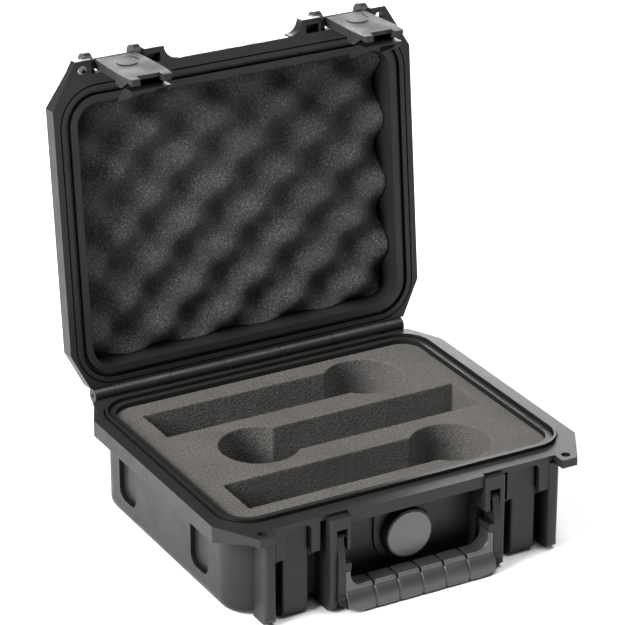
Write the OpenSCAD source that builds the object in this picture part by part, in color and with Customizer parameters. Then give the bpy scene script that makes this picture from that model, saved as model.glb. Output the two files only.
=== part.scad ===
// Moulded carrying case with a hinged lid, two trigger latches, a fold-down handle, a pressure valve and a
// die-cut foam insert. Millimetres, +Z up, the front with the handle faces -Y, +X is to the right.
// The origin is on the floor under the middle of the tub. The lid is modelled shut and then swung open.

/* [Case] */
// Inside width
inner_w = 241; // [236:1:260]
// Inside depth, front to back
inner_d = 188; // [184:1:206]
// Height of the parting plane over the floor
base_h = 71; // [69:1:80]
// Height of the lid over its rim, without its feet
lid_h = 41; // [37:1:50]
// Wall of both shells
wall = 4.7; // [4.5:0.1:5.5]
// Thickness of the floor and of the roof
floor_t = 4; // [3:0.5:5]
// Radius of the inside corners, seen from above
inner_r = 16; // [14:1:18]
// Radius along the outside edge of the floor and of the roof
outer_edge_r = 9; // [6:1:10]
// Radius along the inside edge of the floor and of the roof
inner_edge_r = 5; // [3:1:6]
// Gap between the two rims when the lid is shut
rim_gap = 0.3; // [0.2:0.1:0.5]
// How far the lid leans open in the stored pose, in degrees
open_angle = 95.2; // [80:0.2:100]

/* [Rim flange] */
// How far the flange stands out from the side walls
flange_out = 12.3; // [11:0.1:14]
// Thickness of the flange plate
flange_t = 3.5; // [3:0.5:5]
// Height of the skirt round the flange
skirt_h = 11.5; // [10:0.5:13]
// Thickness of the skirt
skirt_t = 3; // [2:0.5:4]
// Height of the flange at its padlock lugs
lug_h = 6; // [5:0.5:8]
// Depth of the flange in front of the front wall
front_out = 15.3; // [15:0.1:17]
// How far the padlock lugs stand out in front of the flange
lug_out = 9.7; // [8:0.1:11]
// Width of the front face of a padlock lug
lug_w = 11.7; // [10:0.1:13]
// Length, along the side, of the slanted edge behind a lug
lug_slant = 31; // [26:1:36]
// Width, across the case, of the same slanted edge
lug_slant_w = 18.4; // [16:0.1:20]
// Radius of the padlock holes
padlock_r = 3.2; // [2.5:0.1:3.6]
// Width of the seal groove in the lid's rim
seal_groove_w = 3.3; // [3:0.1:4]
// Depth of the seal groove
seal_groove_d = 5; // [4:0.5:6]
// Thickness of the tongue on the base's rim
tongue_w = 1.7; // [1.2:0.1:2]
// Height of the tongue over the base's rim
tongue_h = 2.2; // [1.5:0.1:3]
// Width of the shallow line grooves beside the tongue and the seal
line_w = 1; // [0.6:0.1:1.2]
// Depth of the shallow line grooves
line_d = 1.5; // [0.5:0.1:2]

/* [Hinge] */
// Radius of the hinge barrel
barrel_r = 5; // [4.5:0.1:5.5]
// Radius of the hinge pin
hinge_pin_r = 1.5; // [1.2:0.1:2]
// Height of the hinge axis over the parting plane
hinge_up = 1.8; // [1:0.1:2.5]
// Gap between the flange and the hinge barrel
hinge_gap = 0.5; // [0.4:0.1:1]
// Half length of the hinge
hinge_half = 123; // [120:1:124]
// Length of each outer hinge knuckle
hinge_end = 15; // [12:1:18]
// Half length of the middle hinge knuckle
hinge_mid = 22; // [18:1:26]
// Gap between neighbouring knuckles
knuckle_gap = 0.3; // [0.2:0.1:0.5]

/* [Front of the base] */
// Distance from the middle to the middle of the column behind each latch
column_x = 86.4; // [86:0.1:87]
// Width of that column
column_w = 19.6; // [18:0.1:20]
// How far the column stands out from the front wall
column_out = 11.3; // [9:0.1:11.6]
// Height of the bottom of the catch plate over the floor
catch_z = 46.5; // [46:0.5:50]
// Inner edge of the catch plate, measured from the middle
catch_x = 70.7; // [69:0.1:72]
// Thickness of the catch plate
catch_t = 3.5; // [3:0.1:4]
// Height of the arch in the catch plate, down from the parting plane
arch_drop = 3.6; // [3:0.1:5]
// Inner edge of each corner post, measured from the middle
corner_post_x = 103; // [103:0.1:104]
// Width of each corner post
corner_post_w = 8; // [7:0.1:8.4]
// How far the corner posts stand out from the front wall
corner_post_out = 17.3; // [15:0.1:18]
// Inner edge of each handle post, measured from the middle
handle_post_x = 50.6; // [50:0.1:52]
// Width of each handle post
handle_post_w = 15.4; // [15:0.1:16.4]
// How far the handle posts stand out from the front wall
handle_post_out = 21.3; // [20:0.1:23]
// Rounding of the upright edges of the handle posts and the columns
post_r = 2; // [1:0.5:3]
// Rounding of the upright edges of the corner posts
corner_post_r = 3.2; // [2:0.1:3.6]
// Rounding of the posts' feet
foot_r = 6; // [4:1:8]
// Height of the strip between the handle posts
strip_h = 8.5; // [7:0.5:10]
// How far that strip stands out from the front wall
strip_out = 18.3; // [17:0.1:19]

/* [Side recesses] */
// Width of each finger recess in the side walls
recess_w = 25; // [20:1:28]
// Depth of the recesses
recess_d = 3.4; // [2:0.1:3.5]
// Height of the bottom of the recesses
recess_z = 16; // [14:1:24]
// Rounding of the recesses' lower corners
recess_r = 8; // [5:1:10]
// Place of the front recess, from the middle of the case
recess_front_y = -50; // [-56:1:-46]
// Place of the rear recess, from the middle of the case
recess_rear_y = 56; // [48:1:62]

/* [Valve] */
// Height of the valve's middle over the floor
valve_z = 37; // [36:0.5:39]
// Radius of the valve's outer knob
knob_r = 17; // [14:0.5:17.5]
// How far the knob's face stands out from the front wall
knob_out = 9.2; // [8:0.1:9.5]
// Thickness of the face disc on the knob
face_t = 1.6; // [1.2:0.1:2.5]
// Rim of the knob that shows round its face disc
knob_rim = 0.6; // [0.4:0.1:1.5]
// Gap between the knob and the raised panel
knob_gap = 1.6; // [1:0.1:2]
// Half width of the raised panel behind the valve
panel_half = 23; // [22:0.5:26]
// How far the panel stands out from the front wall
panel_out = 2; // [1:0.1:3]
// Radius of the valve's stem
stem_r = 7; // [5:0.5:8]

/* [Handle] */
// Height of the handle's pivot over the floor
handle_z = 53; // [50:0.5:54]
// Radius of the handle's pivot pins
handle_pin_r = 2; // [1.6:0.1:2.4]
// Thickness of each handle arm, across the case
arm_w = 5.2; // [4.5:0.1:5.6]
// Thickness of the arms, front to back
arm_t = 12.5; // [11:0.5:13]
// How far the arms lie in front of the pivot
arm_front = 8; // [7:0.1:9]
// Radius of the rounded ear at each pivot
ear_r = 5; // [4:0.1:5.5]
// Height of the underside of the grip over the floor
grip_z = 0.8; // [0.6:0.1:2]
// Height of the grip
grip_h = 17.6; // [16:0.1:19]
// Thickness of the grip, front to back
grip_t = 18.5; // [17:0.1:19]
// Radius of the grip's rounded top
grip_top_r = 7.3; // [6:0.1:8]
// Radius of the grip's lower edges
grip_edge_r = 1.6; // [1:0.1:3]
// Radius of the handle's lower corners
corner_r = 30; // [24:1:36]
// Radius where the grip turns up into the arms
finger_r = 9; // [6:0.5:12]
// How far the grip reaches in from the arms
flare_w = 4.2; // [3:0.1:5]
// Height to which the soft grip climbs the arms
flare_top = 30.8; // [26:0.1:32]
// Number of grooves round the grip
grip_grooves = 5; // [3:1:5]
// Distance between the grooves
groove_pitch = 17.6; // [14:0.1:19]
// Width of the grooves
groove_w = 1.4; // [1:0.1:2]
// Depth of the grooves
groove_d = 0.9; // [0.5:0.1:1.2]

/* [Latches] */
// Distance from the middle to the middle of each latch
latch_x = 88; // [87.7:0.1:88.2]
// Height of the latch pivot over the parting plane
latch_up = 11; // [10.5:0.1:11.5]
// How far the latch pivot lies in front of the flange
latch_out = 4; // [3.8:0.1:4.6]
// Radius of the latch's barrel
latch_r = 2.9; // [2.5:0.1:3.2]
// Radius of the latch pins
latch_pin_r = 1.5; // [1.2:0.1:1.8]
// Length of the latch, from its pivot to its lower end
latch_l = 63; // [60:0.5:66]
// Width of the latch at its barrel
latch_w = 30.6; // [30:0.1:31]
// Lean of the shut latch towards the case, in degrees
latch_lean = 2.8; // [2.2:0.1:3]
// Thickness of the latch plate
plate_t = 2.8; // [2.2:0.1:3.2]
// Thickness of the latch's side cheeks
cheek_t = 2.6; // [2:0.1:3]
// Thickness of the latch's lower lip
lip_t = 6; // [4:0.5:7]
// Width of the notch in the latch's lip
notch_w = 17; // [12:1:18]
// Radius of the bare badge disc
badge_r = 7.2; // [5:0.1:8]
// Radius of the trigger pins
trigger_pin_r = 1.1; // [1:0.1:1.2]
// Distance from the latch pivot down to the trigger pin
trigger_down = 42; // [41.5:0.5:43]
// Radius of the lid's ears that hold the latch pin
latch_ear_r = 7.8; // [7:0.1:8]
// Thickness of those ears
latch_ear_w = 5; // [4:0.1:5]

/* [Foam] */
// Height of the foam under the pockets
pad_top = 25; // [20:1:28]
// Distance from the parting plane down to the top of the foam
foam_drop = 3; // [2:0.5:6]
// Gap between the foam and the walls
foam_gap = 0.3; // [0.2:0.1:0.6]
// Width of the straight part of each pocket
pocket_w = 37; // [30:1:38]
// Radius of the round end of each pocket
pocket_head_r = 27.5; // [22:0.5:27.5]
// Length of each pocket
pocket_l = 190; // [180:1:198]
// Distance between neighbouring pockets
pocket_pitch = 58.5; // [58:0.5:59]
// Shift of the two like pockets to the left
pocket_shift = 7; // [4:1:9]
// Shift of the turned pocket to the right
turned_shift = 14; // [10:1:16]
// Distance from the lid's rim down to the crests of its foam
crest_drop = 9; // [7:0.5:12]
// Height of the crests over the hollows between them
crest_h = 17; // [10:1:18]
// Half of the distance between crests across the lid
wave_x = 26; // [22:0.1:30]
// Half of the distance between crests along the lid
wave_y = 23.7; // [20:0.1:28]

/* [Hidden] */
$fn = 64;

left = -1;
right = 1;
eps = 0.05;          // extra length of a cutting tool
running = 0.05;      // radial clearance of a shaft that turns
seated = 0.02;       // radial clearance of a pin that is pressed in
part_gap = 0.3;      // gap between neighbouring pieces that move
pin_bite = 2;        // how far the handle pins reach into the outer side of their posts
plastic = [0.27, 0.27, 0.27];
dark_plastic = [0.2, 0.2, 0.2];
steel = [0.7, 0.7, 0.72];
rubber = [0.12, 0.12, 0.12];
grey_foam = [0.4, 0.39, 0.38];

// Tub and rim
wall_x = inner_w / 2 + wall;
wall_y = inner_d / 2 + wall;
flange_x = wall_x + flange_out;
bay_y = -wall_y - front_out;
lug_y = bay_y - lug_out;
lug_x1 = flange_x - lug_slant_w;
lug_x0 = lug_x1 - lug_w;
padlock_x = lug_x1 - 5.1;
padlock_y = lug_y + 6.7;
hinge_y = wall_y + 14.3;
hinge_z = base_h + hinge_up;
rear_y = hinge_y - barrel_r - hinge_gap;
rear_x = flange_x - 13;
rear_slant = 26.5;
lid_z = base_h + rim_gap;
tongue_off = wall + 0.8;

// Front of the base
column_y = -wall_y - column_out;
column_x0 = column_x - column_w / 2;
column_x1 = column_x + column_w / 2;
strip_y = -wall_y - strip_out;
strip_half = handle_post_x - 1.6;
handle_post_y = -wall_y - handle_post_out;
arch_half = column_w / 2 - 0.4;
arch_r = 5;
hook_y = -wall_y - 7.6;
hook_z = catch_z - 5.7;

// Handle
handle_y = handle_post_y + 6;
hook_w = 3.3;        // thickness of the post's inner side, beside the slot
post_band = 4.6;     // thickness of the post's outer side, with the gap to the arm
arm_x1 = handle_post_x + handle_post_w - post_band;
arm_x0 = arm_x1 - arm_w;
slot_x0 = handle_post_x + hook_w;
slot_x1 = arm_x1 + part_gap;
slot_y = handle_y + ear_r + 2;
slot_top = handle_z + ear_r + 2.6;
window_z = handle_z - 7.4;
grip_back = handle_y + 5.7;
grip_front = grip_back - grip_t;
grip_top = grip_z + grip_h;
corner_run = 20;     // width of each rounded lower corner of the handle
core_h = 8;
core_t = 6;
core_z = grip_z + (grip_h - core_h) / 2;
core_y = grip_back - grip_top_r - core_t / 2 + 1;
tooth_h = 5.6;

// Valve
knob_back = -wall_y - 1;
knob_face = -wall_y - knob_out;
knob_front = knob_face + face_t;
nut_r = 10;
nut_t = 3.5;

// Latches, in the frame of a latch: its pin at the origin, its plate hanging down, the case towards +Y
latch_y = bay_y - latch_out;
latch_z = lid_z + latch_up;
ear_inner = latch_x - latch_w / 2 - part_gap;
ear_outer = latch_x + latch_w / 2 + part_gap;
plate_y = -5.2;
slope_l = 9;         // length of the slope from the barrel down to the plate
flare = 1.2;         // how much wider the plate is below its middle
flare_up = 15;       // height of the plate's widest place over its lower end
badge_up = 37;       // height of the badge's middle over the lower end
mark_w = 0.8;        // width of the short line beside the badge
mark_l = 10;         // length of that line
cheek_x = latch_w / 2 - 0.9;
lip_y = -0.6;
trigger_y = 3;
trigger_barrel_r = 2;
trigger_half = cheek_x - cheek_t - part_gap;
spring_l = 4;
tooth_y = 15.9;
tooth_z = -39.6;
lever_z = -61.5;

// Foam
foam_top = base_h - foam_drop;
pocket_end = pocket_l / 2;
crest_z = lid_z + crest_drop;
roof_z = lid_z + lid_h - floor_t;
foam_w = inner_w - 2 * foam_gap;
foam_d = inner_d - 2 * foam_gap;
foam_cols = 37;
foam_rows = 32;
wave_phase_x = -7;
wave_phase_y = -16;

// ---- Shapes used more than once ----

module rounded_rect(w, d, r) {
    square([w - 2 * r, d], center = true);
    square([w, d - 2 * r], center = true);
    for (x = [-1, 1], y = [-1, 1])
        translate([x * (w / 2 - r), y * (d / 2 - r)]) circle(r);
}

// A block with rounded upright corners and a rounded lower edge
module tray(w, d, h, r, edge) {
    translate([0, 0, edge]) linear_extrude(h - edge) rounded_rect(w, d, r);
    linear_extrude(2 * edge) rounded_rect(w - 2 * edge, d - 2 * edge, r - edge);
    for (y = [-1, 1])
        translate([0, y * (d / 2 - edge), edge]) rotate([0, 90, 0])
            cylinder(r = edge, h = w - 2 * r, center = true);
    for (x = [-1, 1])
        translate([x * (w / 2 - edge), 0, edge]) rotate([90, 0, 0])
            cylinder(r = edge, h = d - 2 * r, center = true);
    for (x = [-1, 1], y = [-1, 1])
        translate([x * (w / 2 - r), y * (d / 2 - r), edge])
            rotate_extrude() translate([r - edge, 0]) circle(edge);
}

// A ring round the inside of the case, between two distances from its inside wall
module ring(from, to, z, h)
    translate([0, 0, z]) linear_extrude(h) difference() {
        rounded_rect(inner_w + 2 * to, inner_d + 2 * to, inner_r + to);
        rounded_rect(inner_w + 2 * from, inner_d + 2 * from, inner_r + from);
    }

// Lengthwise rod along X between two places
module rod_x(x0, x1, y, z, r)
    translate([min(x0, x1), y, z]) rotate([0, 90, 0]) cylinder(r = r, h = abs(x1 - x0));

// A (y, z) outline drawn out along X between two places
module along_x(x0, x1)
    translate([min(x0, x1), 0, 0]) rotate([90, 0, 90]) linear_extrude(abs(x1 - x0)) children();

module box(x0, x1, y0, y1, z0, z1)
    translate([min(x0, x1), y0, z0]) cube([abs(x1 - x0), y1 - y0, z1 - z0]);

module both_sides() {
    children();
    mirror([1, 0, 0]) children();
}

function unit(v) = v / norm(v);

// Moves every edge of a polygon inwards by d
function inset(pts, d) = [
    for (k = [0 : len(pts) - 1])
        let (
            a = pts[(k + len(pts) - 1) % len(pts)],
            b = pts[k],
            c = pts[(k + 1) % len(pts)],
            n1 = [-unit(b - a).y, unit(b - a).x],
            n2 = [-unit(c - b).y, unit(c - b).x]
        )
        b + d * (n1 + n2) / (1 + n1 * n2)
];

function mirrored(pts) = [for (k = [len(pts) - 1 : -1 : 0]) [-pts[k].x, pts[k].y]];

function flange_side() = [
    [lug_x0, bay_y],
    [lug_x0, lug_y],
    [lug_x1, lug_y],
    [flange_x, lug_y + lug_slant],
    [flange_x, rear_y - rear_slant],
    [rear_x, rear_y]
];
flange_outline = concat(flange_side(), mirrored(flange_side()));

// Plate with a skirt, rising from its rim at z = 0 to the skirt's edge; the skirt gets lower at the lugs
module flange()
    difference() {
        linear_extrude(skirt_h) polygon(flange_outline);
        translate([0, 0, flange_t])
            linear_extrude(skirt_h)
                intersection() {
                    polygon(inset(flange_outline, skirt_t));
                    translate([-flange_x, lug_y + 14]) square([2 * flange_x, rear_y - lug_y]);
                }
        along_x(-flange_x - eps, flange_x + eps)
            polygon([
                [lug_y - eps, lug_h],
                [lug_y + 8, lug_h],
                [lug_y + lug_slant, skirt_h + eps],
                [lug_y - eps, skirt_h + eps]
            ]);
    }

module padlock_hole(side, z0, z1)
    translate([side * padlock_x, padlock_y, z0]) cylinder(r = padlock_r, h = z1 - z0);

// A post on the front wall with a rounded face and a rounded foot
module post(x0, x1, y, z0, z1, r)
    intersection() {
        translate([0, 0, z0]) linear_extrude(z1 - z0) {
            translate([x0 + r, y]) square([x1 - x0 - 2 * r, -wall_y + 1 - y]);
            translate([x0, y + r]) square([x1 - x0, -wall_y + 1 - y - r]);
            translate([x0 + r, y + r]) circle(r);
            translate([x1 - r, y + r]) circle(r);
        }
        along_x(x0 - 1, x1 + 1) {
            translate([y, z0 + foot_r]) square([-wall_y + 1 - y, z1 - z0 - foot_r]);
            translate([y + foot_r, z0]) square([-wall_y + 1 - y - foot_r, z1 - z0]);
            translate([y + foot_r, z0 + foot_r]) circle(foot_r);
        }
    }

// Shallow recess with rounded lower corners in both side walls
module finger_recess(y)
    for (side = [left, right])
        along_x(side * (wall_x - recess_d), side * (wall_x + 1))
            translate([y - recess_w / 2, recess_z]) {
                translate([recess_r, 0]) square([recess_w - 2 * recess_r, base_h - recess_z - flange_t]);
                translate([0, recess_r]) square([recess_w, base_h - recess_z - flange_t - recess_r]);
                for (c = [recess_r, recess_w - recess_r]) translate([c, recess_r]) circle(recess_r);
            }

// Catch plate: an upside-down U in front of the column, with a hooked ledge behind each of its legs
module catch_plate() {
    difference() {
        box(catch_x, corner_post_x + 1, bay_y, bay_y + catch_t, catch_z, base_h - flange_t + eps);
        translate([column_x, bay_y - eps, 0]) rotate([-90, 0, 0]) linear_extrude(catch_t + 2 * eps)
            mirror([0, 1]) {
                top = base_h - arch_drop;
                translate([-arch_half, catch_z - eps])
                    square([2 * arch_half, top - arch_r - catch_z + eps]);
                translate([-arch_half + arch_r, catch_z]) square([2 * (arch_half - arch_r), top - catch_z]);
                for (x = [-1, 1]) translate([x * (arch_half - arch_r), top - arch_r]) circle(arch_r);
            }
    }
    for (x = [[catch_x, column_x0 + 1], [column_x1 - 1, corner_post_x + 1]])
        along_x(x[0], x[1])
            polygon([
                [hook_y, hook_z],
                [hook_y + 1.6, hook_z],
                [hook_y + 1.6, hook_z + 3],
                [-wall_y + 1, hook_z + 3],
                [-wall_y + 1, catch_z],
                [hook_y, catch_z]
            ]);
}

// Knuckles of one hinge leaf, with the web that joins them to a flange on one side of the parting plane
module knuckle(x0, x1, web, bore_r) {
    difference() {
        union() {
            rod_x(x0 + knuckle_gap / 2, x1 - knuckle_gap / 2, hinge_y, hinge_z, barrel_r);
            along_x(x0 + knuckle_gap / 2, x1 - knuckle_gap / 2) polygon(web);
        }
        rod_x(x0 - eps, x1 + eps, hinge_y, hinge_z, bore_r);
    }
}

base_web = [
    [rear_y - 1, base_h - skirt_h + 1],
    [rear_y + 1, base_h - skirt_h + 1],
    [hinge_y + 2, hinge_z - barrel_r + 0.8],
    [hinge_y, base_h],
    [rear_y - 1, base_h]
];
lid_web = [
    [rear_y - 1, lid_z],
    [hinge_y, lid_z],
    [hinge_y + 2, hinge_z + barrel_r - 0.8],
    [rear_y + 1, lid_z + skirt_h - 1],
    [rear_y - 1, lid_z + skirt_h - 1]
];
hinge_outer = hinge_half - hinge_end;
hinge_inner = (hinge_outer + hinge_mid) / 2 - 0.5;

// Swings the shut lid, and what it carries, open about the hinge
module opened()
    translate([0, hinge_y, hinge_z]) rotate([-open_angle, 0, 0]) translate([0, -hinge_y, -hinge_z]) children();

// ---- Base ----

module handle_post() {
    difference() {
        post(handle_post_x, handle_post_x + handle_post_w, handle_post_y, 1.5, base_h - 2, post_r);
        box(slot_x0, slot_x1, handle_post_y - 1, slot_y, 0, slot_top);
        box(handle_post_x - 1, slot_x1, handle_post_y - 1, slot_y, 0, window_z);
        rod_x(handle_post_x - 1, slot_x1 + pin_bite + eps, handle_y, handle_z, handle_pin_r + seated);
    }
}

// Raised panel, round below the valve
module valve_seat() {
    box(-panel_half, panel_half, -wall_y - panel_out, -wall_y + 1, valve_z, base_h - strip_h + 1);
    translate([0, -wall_y + 1, valve_z]) rotate([90, 0, 0]) cylinder(r = panel_half, h = panel_out + 1);
}

module valve_hole() {
    translate([0, -wall_y, valve_z]) rotate([90, 0, 0]) cylinder(r = knob_r + knob_gap, h = 20);
    translate([0, -inner_d / 2 + 1, valve_z]) rotate([90, 0, 0]) cylinder(r = stem_r + running, h = 20);
}

module base_front() {
    both_sides() {
        post(corner_post_x, corner_post_x + corner_post_w, -wall_y - corner_post_out, 1.5, base_h - lug_h + 1,
             corner_post_r);
        post(column_x0, column_x1, column_y, 0.5, base_h - flange_t + 1, post_r);
        handle_post();
        catch_plate();
    }
    box(-strip_half - 2, strip_half + 2, strip_y, -wall_y + 1, base_h - strip_h, base_h);
}

module base_flange() {
    difference() {
        translate([0, 0, base_h]) mirror([0, 0, 1]) flange();
        both_sides()
            box(handle_post_x, lug_x0 - 1, bay_y - 1, -wall_y - 1, 0, base_h - flange_t);
    }
}

module base_shell() {
    color(plastic) difference() {
        union() {
            tray(2 * wall_x, 2 * wall_y, base_h, inner_r + wall, outer_edge_r);
            base_flange();
            base_front();
            valve_seat();
            ring(tongue_off, tongue_off + tongue_w, base_h - 1, tongue_h + 1);
            for (x = [-hinge_half, hinge_outer])
                knuckle(x, x + hinge_end, base_web, hinge_pin_r + seated);
            for (x = [-hinge_inner, hinge_mid])
                knuckle(x, x + hinge_inner - hinge_mid, base_web, hinge_pin_r + seated);
        }
        translate([0, 0, floor_t]) tray(inner_w, inner_d, base_h, inner_r, inner_edge_r);
        ring(tongue_off - line_w, tongue_off, base_h - line_d, line_d + eps);
        ring(tongue_off + tongue_w, tongue_off + tongue_w + line_w, base_h - line_d, line_d + eps);
        finger_recess(recess_front_y);
        finger_recess(recess_rear_y);
        valve_hole();
        for (side = [left, right]) padlock_hole(side, base_h - lug_h - 1, base_h + 1);
    }
}

module hinge_pin()
    color(steel) rod_x(-hinge_half + 1, hinge_half - 1, hinge_y, hinge_z, hinge_pin_r);

// A pocket cut for one long object with a round head; turn is 1 or -1
module pocket(x, y, turn)
    translate([x, y]) {
        head_x = turn * (pocket_end - pocket_head_r);
        tail = -turn * pocket_end;
        translate([head_x, 0]) circle(pocket_head_r);
        translate([min(tail, head_x), -pocket_w / 2]) square([abs(head_x - tail), pocket_w]);
    }

module foam_block(z0, z1)
    translate([0, 0, z0]) linear_extrude(z1 - z0) rounded_rect(foam_w, foam_d, inner_r - foam_gap);

module base_foam_insert() {
    color(grey_foam) difference() {
        foam_block(pad_top, foam_top);
        translate([0, 0, pad_top - 1]) linear_extrude(foam_top) {
            pocket(-pocket_shift, pocket_pitch, 1);
            pocket(turned_shift, 0, -1);
            pocket(-pocket_shift, -pocket_pitch, 1);
        }
        valve_relief();
    }
}

module valve_relief()
    translate([0, -inner_d / 2 + nut_t + 1.5, valve_z]) rotate([90, 0, 0]) cylinder(r = nut_r + 2, h = 20);

module base_foam_pad() {
    color(grey_foam) difference() {
        intersection() {
            foam_block(floor_t, pad_top);
            translate([0, 0, floor_t + foam_gap])
                tray(foam_w, foam_d, base_h, inner_r - foam_gap, inner_edge_r);
        }
        valve_relief();
    }
}

// ---- Valve, all round one axis along Y ----

module valve_disc(y0, y1, r)
    translate([0, y1, valve_z]) rotate([90, 0, 0]) cylinder(r = r, h = y1 - y0);

// Black knob with a seat for its face disc, on a hollow stem through the wall
module valve_body() {
    color(dark_plastic) difference() {
        union() {
            valve_disc(knob_front - face_t / 2, knob_back, knob_r);
            valve_disc(knob_back - 1, -inner_d / 2 + nut_t + 1, stem_r);
        }
        valve_disc(knob_front - face_t, knob_front + face_t / 2, knob_r - knob_rim);
        valve_disc(knob_front, knob_back - 2, knob_r - 3);
        valve_disc(knob_back - 3, -inner_d / 2 + nut_t + 2, stem_r - 2);
    }
}

module valve_cap() {
    edge = face_t / 2;
    r = knob_r - knob_rim - seated;
    color([0.5, 0.5, 0.51]) {
        valve_disc(knob_face + edge, knob_front + edge, r);
        valve_disc(knob_face, knob_front, r - edge);
        translate([0, knob_face + edge, valve_z]) rotate([90, 0, 0])
            rotate_extrude() translate([r - edge, 0]) circle(edge);
    }
}

module valve_membrane()
    color([0.9, 0.9, 0.88]) valve_disc(knob_back - 3, knob_back - 2, stem_r + 2);

module valve_oring()
    color(rubber) difference() {
        valve_disc(knob_back + 0.1, -wall_y - 0.1, stem_r + 2.4);
        valve_disc(knob_back - 1, -wall_y + 1, stem_r + seated);
    }

module valve_nut() {
    color(dark_plastic) difference() {
        translate([0, -inner_d / 2 + nut_t, valve_z]) rotate([90, 0, 0]) cylinder(r = nut_r, h = nut_t, $fn = 6);
        valve_disc(-inner_d / 2 - 1, -inner_d / 2 + nut_t + 1, stem_r + seated);
    }
}

// ---- Handle ----

// (y, z) section of the grip: a rounded top, a front that slopes out and a flat underside
module grip_section(less) {
    top = [grip_back - grip_top_r, grip_top - grip_top_r];
    edge = grip_edge_r - less;
    translate(top) circle(grip_top_r - less);
    translate([grip_front + grip_edge_r, grip_z + grip_edge_r]) circle(edge);
    translate([grip_back - grip_top_r / 2, grip_z + grip_top_r / 2]) circle(grip_top_r / 2 - less);
    polygon([
        [top.x - grip_top_r + less, top.y],
        [grip_front + less, grip_z + grip_edge_r],
        [grip_front + grip_edge_r, grip_z + less],
        [grip_back - grip_top_r / 2, grip_z + less],
        [grip_back - less, grip_z + grip_top_r / 2],
        [grip_back - less, top.y]
    ]);
}

// (y, z) section of the arms, from the grip up to the pivot
module arm_section()
    polygon([
        [handle_y - arm_front, grip_z + grip_top_r],
        [handle_y - arm_front + arm_t, grip_z + grip_top_r],
        [handle_y - arm_front + arm_t, flare_top + tooth_h],
        [handle_y + ear_r, handle_z],
        [handle_y - ear_r, handle_z],
        [handle_y - arm_front, flare_top + tooth_h + 3]
    ]);

// (x, z) outline of the handle: wide lower corners and a finger opening
module handle_outline() {
    gap = arm_x0 - flare_w;
    difference() {
        intersection() {
            translate([-arm_x1, grip_z]) square([2 * arm_x1, handle_z - grip_z]);
            union() {
                translate([-arm_x1, grip_z + corner_r]) square([2 * arm_x1, handle_z]);
                translate([-arm_x1 + corner_run, grip_z]) square([2 * (arm_x1 - corner_run), corner_r + 1]);
                for (x = [-1, 1])
                    translate([x * (arm_x1 - corner_run), grip_z + corner_r]) circle(corner_r);
            }
        }
        translate([-gap, grip_top + finger_r]) square([2 * gap, handle_z]);
        translate([-gap + finger_r, grip_top - part_gap]) square([2 * (gap - finger_r), handle_z]);
        for (x = [-1, 1])
            translate([x * (gap - finger_r), grip_top + finger_r - part_gap]) circle(finger_r);
        translate([-arm_x0, flare_top + tooth_h]) square([2 * arm_x0, handle_z]);
    }
}

// The whole handle without its pivot ears
module handle_form()
    intersection() {
        along_x(-arm_x1 - 1, arm_x1 + 1) {
            grip_section(0);
            arm_section();
        }
        translate([0, handle_y + grip_t, 0]) rotate([90, 0, 0]) linear_extrude(2 * grip_t) handle_outline();
    }

// Bar of the frame inside the soft grip
module handle_core()
    box(-arm_x0 - 1, arm_x0 + 1, core_y, core_y + core_t, core_z, core_z + core_h);

module handle_frame() {
    color(plastic) difference() {
        union() {
            difference() {
                handle_form();
                box(-arm_x0, arm_x0, grip_front - 1, grip_back + 1, 0, flare_top);
            }
            handle_core();
            both_sides() rod_x(arm_x0, arm_x1, handle_y, handle_z, ear_r);
        }
        for (side = [left, right])
            rod_x(side * (arm_x0 - 1), side * (arm_x1 + 1), handle_y, handle_z, handle_pin_r + running);
    }
}

module handle_grip() {
    color(rubber) difference() {
        intersection() {
            handle_form();
            box(-arm_x0, arm_x0, grip_front - 1, grip_back + 1, 0, flare_top);
        }
        for (k = [0 : grip_grooves - 1])
            let (x = (k - (grip_grooves - 1) / 2) * groove_pitch - groove_w / 2)
            difference() {
                box(x, x + groove_w, grip_front - 1, grip_back + 1, grip_z - 1, grip_top + 1);
                along_x(x - 1, x + groove_w + 1) grip_section(groove_d);
            }
        handle_core();
    }
}

module handle_pin(side)
    color(steel)
        rod_x(side * (handle_post_x + 1), side * (slot_x1 + pin_bite), handle_y, handle_z, handle_pin_r);

// ---- Lid ----

module lid_ears()
    for (x = [[ear_inner - latch_ear_w, ear_inner], [ear_outer, ear_outer + latch_ear_w]]) {
        rod_x(x[0], x[1], latch_y, latch_z, latch_ear_r);
        along_x(x[0], x[1])
            polygon([
                [latch_y, latch_z - latch_ear_r],
                [-wall_y - 1, lid_z + flange_t - 1],
                [-wall_y - 1, latch_z + latch_ear_r],
                [latch_y, latch_z + latch_ear_r]
            ]);
    }

// Block beside each latch, curved down to the flange, with an open pocket in its rim face
module ear_block() {
    x0 = handle_post_x + 2.4;
    x1 = ear_inner - latch_ear_w + eps;
    y = lug_y - 0.5;
    top = lid_z + 8;
    curve = bay_y - y - 0.5;
    difference() {
        box(x0 - curve, x1, y, -wall_y - 1, lid_z, top);
        translate([x0 - curve, y, lid_z - 1]) cylinder(r = curve, h = top);
        box(x0 + 3, x1 - 1.4, y + 4, y + 11, lid_z - 1, top - 2);
    }
}

module stacking_foot(x, y)
    translate([x, y, lid_z + lid_h - 1]) {
        cylinder(r = 6, h = 2.2);
        cylinder(r = 5, h = 3);
    }

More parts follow.
